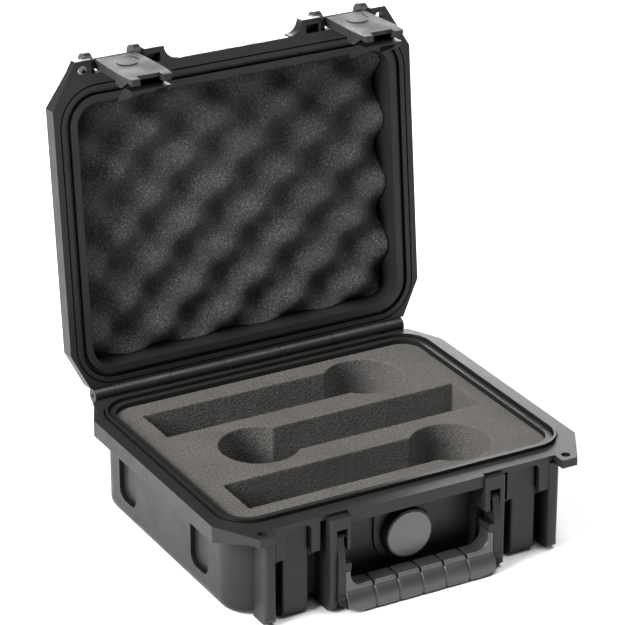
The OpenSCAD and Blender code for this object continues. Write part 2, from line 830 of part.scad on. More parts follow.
module lid_shell() {
    color(plastic) opened() difference() {
        union() {
            translate([0, 0, lid_z + lid_h]) mirror([0, 0, 1])
                tray(2 * wall_x, 2 * wall_y, lid_h, inner_r + wall, outer_edge_r);
            translate([0, 0, lid_z]) flange();
            ring(wall - 1, wall + seal_groove_w + 2, lid_z, seal_groove_d + 2);
            both_sides() {
                lid_ears();
                ear_block();
            }
            for (x = [left, right], y = [recess_front_y, recess_rear_y])
                stacking_foot(x * (wall_x - outer_edge_r), y);
            knuckle(-hinge_mid, hinge_mid, lid_web, hinge_pin_r + running);
            for (x = [-hinge_outer, hinge_inner])
                knuckle(x, x + hinge_outer - hinge_inner, lid_web, hinge_pin_r + running);
        }
        translate([0, 0, roof_z]) mirror([0, 0, 1]) tray(inner_w, inner_d, base_h, inner_r, inner_edge_r);
        ring(wall + 0.3, wall + 0.3 + seal_groove_w, lid_z - eps, seal_groove_d + eps);
        ring(wall + seal_groove_w + 3.6, wall + seal_groove_w + 3.6 + line_w, lid_z - eps, line_d + eps);
        for (side = [left, right]) {
            padlock_hole(side, lid_z - 1, lid_z + lug_h + 1);
            rod_x(side * (ear_inner - 4), side * (ear_outer + 3.5), latch_y, latch_z, latch_pin_r + seated);
        }
    }
}

module lid_seal()
    color(rubber) opened()
        ring(wall + 0.4, wall + 0.2 + seal_groove_w, base_h + tongue_h + part_gap,
             seal_groove_d + rim_gap - tongue_h - part_gap);

// Height of the waved foam over the crests, at a place in the lid
function wave(x, y) =
    crest_h * (1 - cos(180 * (x - wave_phase_x) / wave_x) * cos(180 * (y - wave_phase_y) / wave_y)) / 2;

// Draws a point of a rectangle in to the rounded corners of the foam
function drawn_in(x, y) =
    let (
        r = inner_r - foam_gap,
        cx = foam_w / 2 - r,
        cy = foam_d / 2 - r,
        out = [max(abs(x) - cx, 0), max(abs(y) - cy, 0)],
        k = norm(out) > r ? r / norm(out) : 1
    )
    [sign(x) * (min(abs(x), cx) + k * out.x), sign(y) * (min(abs(y), cy) + k * out.y)];

// A point on the edge of the foam, moved in by the roof's rounded edge
function sloped_in(p) =
    let (
        r = inner_r - foam_gap,
        near = [
            max(r - foam_w / 2, min(foam_w / 2 - r, p.x)),
            max(r - foam_d / 2, min(foam_d / 2 - r, p.y))
        ]
    )
    p - inner_edge_r * unit(p - near);

module lid_foam() {
    nx = foam_cols;
    ny = foam_rows;
    grid = [
        for (j = [0 : ny], i = [0 : nx])
            drawn_in(foam_w * (i / nx - 0.5), foam_d * (j / ny - 0.5))
    ];
    face = [for (p = grid) [p.x, p.y, crest_z + wave(p.x, p.y)]];
    n = len(grid);
    function at(i, j) = j * (nx + 1) + i;
    edge = concat(
        [for (i = [0 : nx - 1]) at(i, 0)],
        [for (j = [0 : ny - 1]) at(nx, j)],
        [for (i = [nx : -1 : 1]) at(i, ny)],
        [for (j = [ny : -1 : 1]) at(0, j)]
    );
    m = len(edge);
    // each cell is folded along the diagonal that lies nearer to the wave
    function folded(i, j) =
        let (
            a = face[at(i, j)],
            b = face[at(i + 1, j)],
            c = face[at(i + 1, j + 1)],
            d = face[at(i, j + 1)],
            middle = crest_z + wave((a.x + c.x) / 2, (a.y + c.y) / 2)
        )
        abs((b.z + d.z) / 2 - middle) < abs((a.z + c.z) / 2 - middle);
    // the sides end where the roof's rounded edge begins, and slope in to the back
    shoulder = [for (k = edge) [grid[k].x, grid[k].y, roof_z - inner_edge_r]];
    back = [for (k = edge) let (p = sloped_in(grid[k])) [p.x, p.y, roof_z - part_gap]];
    faces = concat(
        [
            for (j = [0 : ny - 1], i = [0 : nx - 1])
                folded(i, j) ? [at(i, j), at(i + 1, j), at(i, j + 1)]
                             : [at(i, j), at(i + 1, j), at(i + 1, j + 1)]
        ],
        [
            for (j = [0 : ny - 1], i = [0 : nx - 1])
                folded(i, j) ? [at(i + 1, j), at(i + 1, j + 1), at(i, j + 1)]
                             : [at(i, j), at(i + 1, j + 1), at(i, j + 1)]
        ],
        [
            for (k = [0 : m - 1])
                let (a = edge[k], b = edge[(k + 1) % m], c = n + k, d = n + (k + 1) % m)
                each [[a, c, d], [a, d, b], [c, c + m, d + m], [c, d + m, d]]
        ],
        [for (k = [0 : m - 1]) [n + 2 * m, n + m + (k + 1) % m, n + m + k]]
    );
    points = concat(face, shoulder, back, [[0, 0, roof_z - part_gap]]);
    color(grey_foam) opened() polyhedron(points, faces);
}

module latch_pin(side)
    color(steel) opened()
        rod_x(side * (ear_inner - 3.9), side * (ear_outer + 3.4), latch_y, latch_z, latch_pin_r);

// ---- Latches ----

// Puts what is drawn in the right latch's frame on the shut lid, then swings it open with the lid
module on_latch(side)
    opened() mirror([side < 0 ? 1 : 0, 0, 0])
        translate([latch_x, latch_y, latch_z]) rotate([latch_lean, 0, 0]) children();

module badge_disc(r, from, to)
    translate([0, plate_y + to, -latch_l + badge_up]) rotate([90, 0, 0]) cylinder(r = r, h = to - from);

module latch_body(side) {
    half = latch_w / 2;
    color([0.36, 0.36, 0.36]) on_latch(side) difference() {
        union() {
            rod_x(-half, half, 0, 0, latch_r);
            // plate, wider below the middle and cut off at its lower corners
            translate([0, plate_y + plate_t, 0]) rotate([90, 0, 0]) linear_extrude(plate_t)
                polygon([
                    [-half, -slope_l], [-half - flare, -latch_l + flare_up], [-half, -latch_l + 1],
                    [-half + 1, -latch_l], [half - 1, -latch_l], [half, -latch_l + 1],
                    [half + flare, -latch_l + flare_up], [half, -slope_l]
                ]);
            // slope from the plate up to the barrel
            along_x(-half, half)
                polygon([
                    [plate_y, -slope_l], [-1, latch_r - 0.3], [1.6, -1],
                    [plate_y + plate_t, -slope_l - 2], [plate_y, -slope_l - 2]
                ]);
            // cheeks that carry the trigger, deep only below the catch plate
            for (x = [-cheek_x, cheek_x - cheek_t])
                along_x(x, x + cheek_t)
                    polygon([
                        [plate_y + 1, 1 - slope_l], [0, 0], [2.4, -1], [1.4, -trigger_down + 5.5],
                        [trigger_y + 2, -trigger_down + 3],
                        [trigger_y + 2, -trigger_down - 3.5], [lip_y, -trigger_down - 13],
                        [plate_y + 1, -latch_l + 1]
                    ]);
            box(-half + 1, half - 1, plate_y + 0.5, lip_y, -latch_l, -latch_l + lip_t);
        }
        rod_x(-half - 1, half + 1, 0, 0, latch_pin_r + running);
        rod_x(-half - 1, half + 1, trigger_y, -trigger_down, trigger_pin_r + seated);
        box(-notch_w / 2, notch_w / 2, plate_y - 1, lip_y + 1, -latch_l - 1, -latch_l + lip_t + eps);
        // seat of the badge disc, and a short line beside it
        badge_disc(badge_r + seated, -1, 0.5);
        box(side * (badge_r + 2 * mark_w), side * (badge_r + 3 * mark_w), plate_y - 1, plate_y + 0.5,
            -latch_l + badge_up + 1, -latch_l + badge_up + 1 + mark_l);
    }
}

module latch_badge(side)
    color(dark_plastic) on_latch(side) badge_disc(badge_r, -0.4, 0.5);

module trigger_pin(side)
    color(steel) on_latch(side)
        rod_x(-cheek_x + 0.3, cheek_x - 0.3, trigger_y, -trigger_down, trigger_pin_r);

module trigger_spring(side)
    color(steel) on_latch(side) difference() {
        rod_x(trigger_half - spring_l, trigger_half, trigger_y, -trigger_down, trigger_barrel_r);
        rod_x(trigger_half - spring_l - 1, trigger_half + 1, trigger_y, -trigger_down, trigger_pin_r + running);
    }

module latch_trigger(side)
    color([0.16, 0.16, 0.16]) on_latch(side) difference() {
        union() {
            rod_x(-trigger_half, trigger_half, trigger_y, -trigger_down, trigger_barrel_r);
            // lever between the cheeks
            along_x(-trigger_half, trigger_half)
                polygon([
                    [trigger_y - 1.4, -trigger_down - 1], [trigger_y + 1.6, -trigger_down - 1],
                    [trigger_y + 3.4, -latch_l + 14], [trigger_y + 3.4, lever_z], [trigger_y, lever_z]
                ]);
            // teeth, wider than the cheeks and below them
            along_x(-cheek_x, cheek_x)
                polygon([
                    [trigger_y + 2.4, -latch_l + 15.6], [tooth_y - 1, tooth_z], [tooth_y, tooth_z],
                    [tooth_y, tooth_z - 2], [trigger_y + 3.4, lever_z], [trigger_y, lever_z],
                    [trigger_y, lever_z + 8]
                ]);
        }
        rod_x(-cheek_x - 1, cheek_x + 1, trigger_y, -trigger_down, trigger_pin_r + running);
        // room for the spring beside the barrel
        rod_x(trigger_half - spring_l - 0.1, trigger_half + 1, trigger_y, -trigger_down, trigger_barrel_r + 0.15);
        // room for the column between the two teeth
        along_x(column_x0 - latch_x - 0.7, column_x1 - latch_x + 0.7)
            polygon([[5.3, tooth_z + 4], [4.3, lever_z - 1], [tooth_y + 1, lever_z - 1], [tooth_y + 1, tooth_z + 4]]);
    }

base_shell();
base_foam_insert();
base_foam_pad();
hinge_pin();
valve_body();
valve_cap();
valve_membrane();
valve_oring();
valve_nut();
handle_pin(left);  // handle_pin_left
handle_pin(right);  // handle_pin_right
handle_frame();
handle_grip();
lid_shell();
lid_foam();
lid_seal();
latch_pin(left);  // latch_pin_left
latch_pin(right);  // latch_pin_right
latch_body(left);  // latch_body_left
latch_body(right);  // latch_body_right
latch_badge(left);  // latch_badge_left
latch_badge(right);  // latch_badge_right
trigger_pin(left);  // trigger_pin_left
trigger_pin(right);  // trigger_pin_right
trigger_spring(left);  // trigger_spring_left
trigger_spring(right);  // trigger_spring_right
latch_trigger(left);  // latch_trigger_left
latch_trigger(right);  // latch_trigger_right
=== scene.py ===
import math

import bmesh
import bpy
import numpy as np
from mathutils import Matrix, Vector, geometry, noise


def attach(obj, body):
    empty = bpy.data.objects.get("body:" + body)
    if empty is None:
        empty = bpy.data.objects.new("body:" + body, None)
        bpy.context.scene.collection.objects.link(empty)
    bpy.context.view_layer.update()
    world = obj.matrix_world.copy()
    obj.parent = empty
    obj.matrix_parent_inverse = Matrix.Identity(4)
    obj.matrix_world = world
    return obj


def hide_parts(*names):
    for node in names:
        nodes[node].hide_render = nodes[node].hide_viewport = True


mm = 0.001
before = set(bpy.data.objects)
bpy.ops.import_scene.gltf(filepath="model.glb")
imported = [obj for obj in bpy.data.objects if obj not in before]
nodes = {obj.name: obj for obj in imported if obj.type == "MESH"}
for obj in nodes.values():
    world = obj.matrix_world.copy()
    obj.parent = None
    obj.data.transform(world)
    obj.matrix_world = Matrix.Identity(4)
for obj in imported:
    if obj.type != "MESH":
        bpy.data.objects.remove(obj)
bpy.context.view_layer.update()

# Sizes of the case in millimetres that the soft pieces are cut to
case = {
    "innerWidth": 241.0,
    "innerDepth": 188.0,
    "innerRadius": 16.0,
    "foamGap": 0.3,
    "hingeY": 113.0,
    "hingeZ": 72.8,
    "openAngle": 95.2,
}
foamWidth = case["innerWidth"] - 2 * case["foamGap"]
foamDepth = case["innerDepth"] - 2 * case["foamGap"]
foamRadius = case["innerRadius"] - case["foamGap"]


# Even noise from about -1 to 1, with features of the given size in millimetres
def evenNoise(x, y, z, size):
    spot = Vector((x / size, y / size, z / size))
    return noise.fractal(spot, 1.0, 2.0, 3, noise_basis="PERLIN_ORIGINAL")


# A point of the shut lid, swung open about the hinge
def opened(point):
    a = math.radians(-case["openAngle"])
    y, z = point[1] - case["hingeY"], point[2] - case["hingeZ"]
    return (
        point[0],
        case["hingeY"] + y * math.cos(a) - z * math.sin(a),
        case["hingeZ"] + y * math.sin(a) + z * math.cos(a),
    )


# A smooth object from points in millimetres, with its faces turned outwards
def meshObject(name, points, faces):
    mesh = bpy.data.meshes.new(name)
    mesh.from_pydata([tuple(c * mm for c in p) for p in points], [], faces)
    mesh.validate()
    mesh.update()
    obj = bpy.data.objects.new(name, mesh)
    bpy.context.scene.collection.objects.link(obj)
    turner = bmesh.new()
    turner.from_mesh(mesh)
    bmesh.ops.recalc_face_normals(turner, faces=turner.faces)
    turner.to_mesh(mesh)
    turner.free()
    for face in mesh.polygons:
        face.use_smooth = True
    return obj


# Points and outward normals round a rounded rectangle
def roundedLoop(width, depth, radius, step):
    points = []
    halfW, halfD = width / 2 - radius, depth / 2 - radius
    corners = [(halfW, -halfD), (halfW, halfD), (-halfW, halfD), (-halfW, -halfD)]
    turns = max(4, round(radius * math.pi / 2 / step))
    for k, (cx, cy) in enumerate(corners):
        for i in range(turns + 1):
            a = math.radians(90 * (k - 1) + 90 * i / turns)
            nx, ny = math.cos(a), math.sin(a)
            points.append((cx + radius * nx, cy + radius * ny, nx, ny))
        # along the straight side to the next corner
        nextX, nextY = corners[(k + 1) % 4]
        x0, y0 = points[-1][:2]
        x1, y1 = nextX + radius * nx, nextY + radius * ny
        count = max(1, round(math.hypot(x1 - x0, y1 - y0) / step))
        for i in range(1, count):
            f = i / count
            points.append((x0 + (x1 - x0) * f, y0 + (y1 - y0) * f, nx, ny))
    return points


# A point of a rectangle, drawn in to the rounded corners of the foam
def drawnIn(x, y):
    cx, cy = foamWidth / 2 - foamRadius, foamDepth / 2 - foamRadius
    ox, oy = max(abs(x) - cx, 0), max(abs(y) - cy, 0)
    far = math.hypot(ox, oy)
    k = foamRadius / far if far > foamRadius else 1
    return (
        math.copysign(min(abs(x), cx) + k * ox, x),
        math.copysign(min(abs(y), cy) + k * oy, y),
    )


# Quads between rows of equally many points; each row is a list of indices
def joined(rows, closed=True):
    faces = []
    for a, b in zip(rows, rows[1:]):
        count = len(a)
        for i in range(count if closed else count - 1):
            j = (i + 1) % count
            faces.append((a[i], a[j], b[j], b[i]))
    return faces


# A node with its settings; each input takes a plain value or the socket that feeds it
def add(tree, kind, settings=None, inputs=None):
    node = tree.nodes.new(kind)
    for key, value in (settings or {}).items():
        setattr(node, key, value)
    for key, value in (inputs or {}).items():
        if isinstance(value, bpy.types.NodeSocket):
            tree.links.new(value, node.inputs[key])
        else:
            node.inputs[key].default_value = value
    return node


def newGroup(name, inputs, outputs):
    tree = bpy.data.node_groups.new(name, "ShaderNodeTree")
    for label, kind in inputs:
        tree.interface.new_socket(label, in_out="INPUT", socket_type=kind)
    for label, kind in outputs:
        tree.interface.new_socket(label, in_out="OUTPUT", socket_type=kind)
    return tree, add(tree, "NodeGroupInput").outputs, add(tree, "NodeGroupOutput").inputs


def mixColour(tree, factor, a, b):
    inputs = {0: factor, 6: a, 7: b}
    return add(tree, "ShaderNodeMix", {"data_type": "RGBA"}, inputs).outputs[2]


# A value between fromLow and fromHigh, brought to between low and high
def mapped(tree, value, low, high, fromLow, fromHigh):
    inputs = {
        "Value": value,
        "From Min": fromLow,
        "From Max": fromHigh,
        "To Min": low,
        "To Max": high,
    }
    return add(tree, "ShaderNodeMapRange", inputs=inputs).outputs["Result"]


def cloudy(tree, place, scale, detail, **more):
    inputs = {"Vector": place, "Scale": scale, "Detail": detail, **more}
    return add(tree, "ShaderNodeTexNoise", inputs=inputs).outputs["Fac"]


def cellular(tree, place, scale, feature):
    inputs = {"Vector": place, "Scale": scale}
    return add(tree, "ShaderNodeTexVoronoi", {"feature": feature}, inputs).outputs["Distance"]


def stretched(tree, place, scale):
    return add(tree, "ShaderNodeMapping", inputs={"Vector": place, "Scale": scale}).outputs[0]


# One pattern times its share, plus another
def stacked(tree, pattern, share, under):
    inputs = {0: pattern, 1: share, 2: under}
    return add(tree, "ShaderNodeMath", {"operation": "MULTIPLY_ADD"}, inputs).outputs[0]


colour, number = "NodeSocketColor", "NodeSocketFloat"

# Moulded plastic; scales are per metre, and a mask is its two values and where they lie
moulding = {
    "cloudScale": 22.0,
    "cloudMask": (0.0, 0.28, 0.35, 0.75),
    "smudgeScale": 75.0,
    "smudgeRange": (0.3, 0.72),
    "fineScale": 2600.0,
    "fineShare": 0.45,
    "scuffScale": 420.0,
    "scuffStretch": (1.0, 0.16, 0.3),
    "scuffMask": (0.0, 0.5, 0.66, 0.78),
    # painted shade: how far the occlusion looks, its mask, and the near-black colour painted into
    # recesses
    "paintedShadeReach": 14.0,
    "paintedShadeMask": (0.1, 1.0, 0.3, 0.85),
    "paintedShadeColour": (0.003, 0.003, 0.003, 1),
}


# Fine moulded grain with cloudy sheen, smudges, a few light scuffs, and painted shade that darkens
# the colour in recesses
def mouldedGroup():
    m = moulding
    tree, given, out = newGroup(
        "mouldedGrainAndShade",
        [("Plain", colour), ("Worn", colour), ("Grain", number), ("Low", number), ("High", number)],
        [("Colour", colour), ("Roughness", number), ("Height", number)],
    )
    place = add(tree, "ShaderNodeTexCoord").outputs["Object"]
    cloud = cloudy(tree, place, m["cloudScale"], 5.0)
    smudge = cloudy(tree, place, m["smudgeScale"], 7.0, Distortion=0.6)
    fine = cloudy(tree, place, m["fineScale"], 2.0)
    streaks = stretched(tree, place, m["scuffStretch"])
    scuff = cloudy(tree, streaks, m["scuffScale"], 9.0, Roughness=0.7)
    # painted shade: ambient occlusion darkens the colour towards near-black in recesses, corners
    # and under ledges
    reach = {"Distance": m["paintedShadeReach"] * mm}
    near = add(tree, "ShaderNodeAmbientOcclusion", {"samples": 6}, reach).outputs["AO"]
    unshadedMask = mapped(tree, near, *m["paintedShadeMask"])
    tinted = mixColour(tree, mapped(tree, cloud, *m["cloudMask"]), given["Plain"], given["Worn"])
    scuffed = mixColour(tree, mapped(tree, scuff, *m["scuffMask"]), tinted, given["Worn"])
    tree.links.new(mixColour(tree, unshadedMask, m["paintedShadeColour"], scuffed), out["Colour"])
    rough = mapped(tree, smudge, given["Low"], given["High"], *m["smudgeRange"])
    tree.links.new(rough, out["Roughness"])
    cells = cellular(tree, place, given["Grain"], "SMOOTH_F1")
    tree.links.new(stacked(tree, fine, m["fineShare"], cells), out["Height"])
    return tree


foaming = {
    "speckScale": 900.0,
    "speckHeight": 1.4,
    "blotchScale": 30.0,
    "poreMask": (0.75, 0.0, 0.05, 0.5),
    "lightMask": (0.0, 1.0, 0.5, 0.72),
    "blotchMask": (0.0, 0.3, 0.4, 0.75),
}


# Open foam: speckled cells, dark pores and soft blotches
def foamGroup():
    m = foaming
    tree, given, out = newGroup(
        "openFoam",
        [("Plain", colour), ("Pore", colour), ("Light", colour), ("Cells", number)],
        [("Colour", colour), ("Height", number)],
    )
    place = add(tree, "ShaderNodeTexCoord").outputs["Object"]
    cells = cellular(tree, place, given["Cells"], "F1")
    speck = cloudy(tree, place, m["speckScale"], 6.0, Roughness=0.75)
    blotch = cloudy(tree, place, m["blotchScale"], 4.0)
    dark = mixColour(tree, mapped(tree, cells, *m["poreMask"]), given["Plain"], given["Pore"])
    flecked = mixColour(tree, mapped(tree, speck, *m["lightMask"]), dark, given["Light"])
    blotchMask = mapped(tree, blotch, *m["blotchMask"])
    tree.links.new(mixColour(tree, blotchMask, flecked, given["Pore"]), out["Colour"])
    tree.links.new(stacked(tree, speck, m["speckHeight"], cells), out["Height"])
    return tree


drawing = {
    "lineStretch": (1.0, 0.1, 0.1),
    "lineScale": 3000.0,
    "lineRoughness": (0.18, 0.42, 0.3, 0.7),
    "stainScale": 260.0,
    "stainMask": (0.0, 1.0, 0.4, 0.7),
}


# Ground steel with fine lines round it and a little tarnish
def drawnMetalGroup():
    m = drawing
    tree, given, out = newGroup(
        "drawnMetal",
        [("Bright", colour), ("Dull", colour)],
        [("Colour", colour), ("Roughness", number), ("Height", number)],
    )
    place = add(tree, "ShaderNodeTexCoord").outputs["Object"]
    grain = cloudy(tree, stretched(tree, place, m["lineStretch"]), m["lineScale"], 3.0)
    stain = mapped(tree, cloudy(tree, place, m["stainScale"], 5.0), *m["stainMask"])
    tree.links.new(mixColour(tree, stain, given["Bright"], given["Dull"]), out["Colour"])
    tree.links.new(mapped(tree, grain, *m["lineRoughness"]), out["Roughness"])
    tree.links.new(grain, out["Height"])
    return tree


moulded, foamCells, drawnMetal = mouldedGroup(), foamGroup(), drawnMetalGroup()


# A Principled shader fed by one of the groups; bump is its depth in millimetres and strength
def newMaterial(name, group, inputs, shader, bump):
    material = bpy.data.materials.new(name)
    material.use_nodes = True
    tree = material.node_tree
    tree.nodes.clear()
    surface = add(tree, "ShaderNodeGroup", {"node_tree": group}, inputs)
    given = {"Base Color": surface.outputs["Colour"], **shader}
    if "Roughness" in surface.outputs:
        given["Roughness"] = surface.outputs["Roughness"]
    principled = add(tree, "ShaderNodeBsdfPrincipled", inputs=given)
    relief = {"Height": surface.outputs["Height"], "Distance": bump[0] * mm, "Strength": bump[1]}
    raised = add(tree, "ShaderNodeBump", inputs=relief)
    tree.links.new(raised.outputs["Normal"], principled.inputs["Normal"])
    add(tree, "ShaderNodeOutputMaterial", inputs={"Surface": principled.outputs[0]})
    return material


# A grey, made warmer or, below zero, cooler
def grey(value, warm=0.0):
    return (value * (1 + warm), value, value * (1 - warm), 1)


# Plain and worn colour, cells of grain per metre, least and most roughness, bump, sheen
plastics = {
    "shellPlastic": (grey(0.016, 0.02), grey(0.028, 0.03), 1500.0, (0.3, 0.44), (0.04, 0.4), 0.22),
    "latchPlastic": (grey(0.02), grey(0.045), 1700.0, (0.46, 0.68), (0.09, 0.8), 0.22),
    "triggerPlastic": (grey(0.012), grey(0.022), 1900.0, (0.34, 0.46), (0.02, 0.3), 0.22),
    "badgePlastic": (grey(0.016), grey(0.03), 2200.0, (0.5, 0.62), (0.03, 0.4), 0.22),
    "valvePlastic": (grey(0.014), grey(0.024), 1700.0, (0.4, 0.55), (0.03, 0.4), 0.5),
    "valveCapPlastic": (grey(0.11, -0.02), grey(0.16), 2000.0, (0.3, 0.42), (0.03, 0.3), 0.5),
    "gripRubber": (grey(0.026), grey(0.045), 1300.0, (0.34, 0.46), (0.02, 0.2), 0.85),
    "sealRubber": (grey(0.008), grey(0.014), 1300.0, (0.5, 0.65), (0.03, 0.4), 0.5),
    "membranePlastic": (grey(0.7), grey(0.6), 2200.0, (0.5, 0.6), (0.02, 0.4), 0.5),
}
# Plain, pore and light colour, cells per metre, bump
foams = {
    "baseFoam": (grey(0.085, 0.05), grey(0.04, 0.04), grey(0.17, 0.06), 650.0, (0.6, 0.8)),
    "lidFoam": (grey(0.045, 0.02), grey(0.01), grey(0.2, 0.02), 620.0, (0.8, 0.8)),
}
foamShader = {"Roughness": 0.95, "Specular IOR Level": 0.1}
steel = {"Bright": grey(0.6), "Dull": grey(0.36)}

looks = {}
for name, (plain, worn, grain, rough, bump, sheen) in plastics.items():
    inputs = {"Plain": plain, "Worn": worn, "Grain": grain, "Low": rough[0], "High": rough[1]}
    looks[name] = newMaterial(name, moulded, inputs, {"Specular IOR Level": sheen}, bump)
for name, (plain, pore, light, cells, bump) in foams.items():
    inputs = {"Plain": plain, "Pore": pore, "Light": light, "Cells": cells}
    looks[name] = newMaterial(name, foamCells, inputs, foamShader, bump)
looks["pinSteel"] = newMaterial("pinSteel", drawnMetal, steel, {"Metallic": 1.0}, (0.02, 0.3))

print("materials done")


# Pockets of the base foam
pockets = {
    "width": 37.0,
    "headRadius": 27.5,
    "length": 190.0,
    # middle of each pocket and which way its head lies
    "places": [(-7.0, 58.5, 1), (14.0, 0.0, -1), (-7.0, -58.5, 1)],
    "top": 68.0,
    "bottom": 25.0,
    "step": 1.2,
    "tornFade": 14,  # the side walls are torn over one part in this many, at the tail
}
padHeights = (4.6, 24.98)

# How foam is cut: its soft upper edge, uneven faces, torn ends and slightly sunken top
cut = {
    "lip": 0.7,
    "lipAngles": (0, 30, 60, 90),
    "lipStart": 2.2,
    "levels": (0.0, 0.3, 0.6),
    "edgeStep": 2.0,
    "waver": 0.16,
    "waverSize": 5.0,
    "tear": 0.9,
    "tearSize": 2.6,
    "tearOffset": 40,
    "tearStretch": 0.4,
    "tearShare": 0.1,
    "sag": 0.12,
    "sagSize": 16.0,
    "pitch": 3.5,
    "clearSquared": 2.5,
}


# Points round one pocket with normals that point into the foam, and how torn the cut is there
def keyholeLoop(x, y, turn):
    step, half, radius = pockets["step"], pockets["width"] / 2, pockets["headRadius"]
    headX = pockets["length"] / 2 - radius
    neck = math.asin(half / radius)
    neckX = headX - radius * math.cos(neck)
    tail = -pockets["length"] / 2
    points = []

    def line(x0, y0, x1, y1, nx, ny, torn):
        count = max(1, round(math.hypot(x1 - x0, y1 - y0) / step))
        for i in range(count):
            f = i / count
            points.append((x0 + (x1 - x0) * f, y0 + (y1 - y0) * f, nx, ny, torn(f)))

    def fading(f):
        return max(0.0, 1 - pockets["tornFade"] * f)

    line(tail, -half, neckX, -half, 0, -1, fading)
    first, last = -math.pi + neck, math.pi - neck
    count = round((last - first) * radius / step)
    for i in range(count):
        a = first + (last - first) * i / count
        nx, ny = math.cos(a), math.sin(a)
        points.append((headX + radius * nx, radius * ny, nx, ny, 0.0))
    line(neckX, half, tail, half, 0, 1, lambda f: fading(1 - f))
    line(tail, half, tail, -half, -1, 0, lambda f: 1.0)
    return [(x + turn * px, y + turn * py, turn * nx, turn * ny, t) for px, py, nx, ny, t in points]


# Whether a point lies inside a closed loop of points
def inside(px, py, loop):
    found = False
    for (x0, y0), (x1, y1) in zip(loop, loop[1:] + loop[:1]):
        if (y0 > py) != (y1 > py) and px < (x1 - x0) * (py - y0) / (y1 - y0) + x0:
            found = not found
    return found


# Whether there is foam at a point, between the slab's outline and its holes
def foamAt(px, py, outlines):
    return inside(px, py, outlines[0]) and not any(inside(px, py, hole) for hole in outlines[1:])


# Triangles over the top or underside of a slab; the points that they need are added
def flatFaces(points, rings, z, sag):
    flat, edges, index, outlines = [], [], [], []
    for ring in rings:
        start = len(flat)
        outlines.append([points[i][:2] for i in ring])
        flat += [Vector(points[i][:2]) for i in ring]
        index += ring
        edges += [(start + i, start + (i + 1) % len(ring)) for i in range(len(ring))]
    rim, pitch = list(flat), cut["pitch"]
    for i in range(int(foamWidth / pitch) + 1):
        for j in range(int(foamDepth / pitch) + 1):
            x = -foamWidth / 2 + pitch * (i + 0.5 * (j % 2))
            y = -foamDepth / 2 + pitch * j
            if not foamAt(x, y, outlines):
                continue
            spot = Vector((x, y))
            if min((spot - v).length_squared for v in rim) >= cut["clearSquared"]:
                flat.append(spot)
    for v in flat[len(rim) :]:
        index.append(len(points))
        points.append((v.x, v.y, z - sag * (1 + evenNoise(v.x, v.y, z, cut["sagSize"]))))
    _, _, triangles, source, _, _ = geometry.delaunay_2d_cdt(flat, edges, [], 0, 1e-6)
    faces = []
    for triangle in triangles:
        corners = [index[source[i][0]] for i in triangle]
        cx = sum(points[i][0] for i in corners) / 3
        cy = sum(points[i][1] for i in corners) / 3
        if foamAt(cx, cy, outlines):
            faces.append(corners)
    return faces


# A cut slab of foam with a soft upper edge and slightly uneven faces
def foamSlab(name, z0, z1, holes):
    points, faces = [], []
    lip = cut["lip"]
    profile = [(z0 + level * (z1 - z0), 0.0) for level in cut["levels"]]
    profile.append((z1 - cut["lipStart"], 0.0))
    for a in map(math.radians, cut["lipAngles"]):
        profile.append((z1 - lip + lip * math.sin(a), lip * (1 - math.cos(a))))
    edge = roundedLoop(foamWidth, foamDepth, foamRadius, cut["edgeStep"])
    loops = [[(px, py, -nx, -ny, 0.0) for px, py, nx, ny in edge]]
    loops += [keyholeLoop(x, y, turn) for x, y, turn in holes]
    topRings, bottomRings = [], []
    for k, loop in enumerate(loops):
        rows = []
        for z, inset in profile:
            row = []
            for px, py, nx, ny, torn in loop:
                waver = cut["waver"] * evenNoise(px, py, z, cut["waverSize"])
                ragged = evenNoise(
                    px + cut["tearOffset"], py, z * cut["tearStretch"], cut["tearSize"]
                )
                tear = torn * cut["tear"] * max(0.0, ragged + cut["tearShare"])
                # the outer edge only goes inwards
                out = inset + tear + (max(0.0, waver) if k == 0 else waver)
                row.append(len(points))
                points.append((px + nx * out, py + ny * out, z))
            rows.append(row)
        faces += joined(rows)
        topRings.append(rows[-1])
        bottomRings.append(rows[0])
    faces += flatFaces(points, topRings, z1, cut["sag"])
    faces += flatFaces(points, bottomRings, z0, 0.0)
    return meshObject(name, points, faces)


insert = foamSlab("cutFoamInsert", pockets["bottom"], pockets["top"], pockets["places"])
insert.data.materials.append(looks["baseFoam"])
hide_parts("base_foam_insert")
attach(insert, "base")

pad = foamSlab("foamPad", *padHeights, [])
pad.data.materials.append(looks["baseFoam"])
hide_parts("base_foam_pad")
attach(pad, "base")

print("base foam done")


# Waved foam in the lid, measured with the lid shut
waved = {
    "crestZ": 80.3,
    "height": 17.0,
    "halfX": 26.0,
    "halfY": 23.7,
    "phaseX": -7.0,
    "phaseY": -16.0,
    "backZ": 108.0,
    "backEdge": 5.0,
    "backSlope": 0.94,
    "columns": 200,
    "rows": 156,
    "waver": 0.3,
    "waverLift": 0.6,
    "waverSize": 3.0,
    "fineShare": 0.5,
    "fineSize": 1.2,
}


# Height of the foam's back, which slopes off towards the rounded edge of the roof
def backHeight(x, y):
    qx, qy = abs(x) - foamWidth / 2 + foamRadius, abs(y) - foamDepth / 2 + foamRadius
    depth = foamRadius - math.hypot(max(qx, 0), max(qy, 0)) - min(max(qx, qy), 0)
    return waved["backZ"] - waved["backSlope"] * max(0.0, waved["backEdge"] - depth)


# Height of the waved front, with the marks of the saw
def waveHeight(x, y):
    w = waved
    alongX = math.cos(math.pi * (x - w["phaseX"]) / w["halfX"])
    alongY = math.cos(math.pi * (y - w["phaseY"]) / w["halfY"])
    z = w["crestZ"] + w["height"] * (1 - alongX * alongY) / 2
    marks = w["waverLift"] + evenNoise(x, y, z, w["waverSize"])
    return z + w["waver"] * (marks + w["fineShare"] * evenNoise(x, y, z, w["fineSize"]))


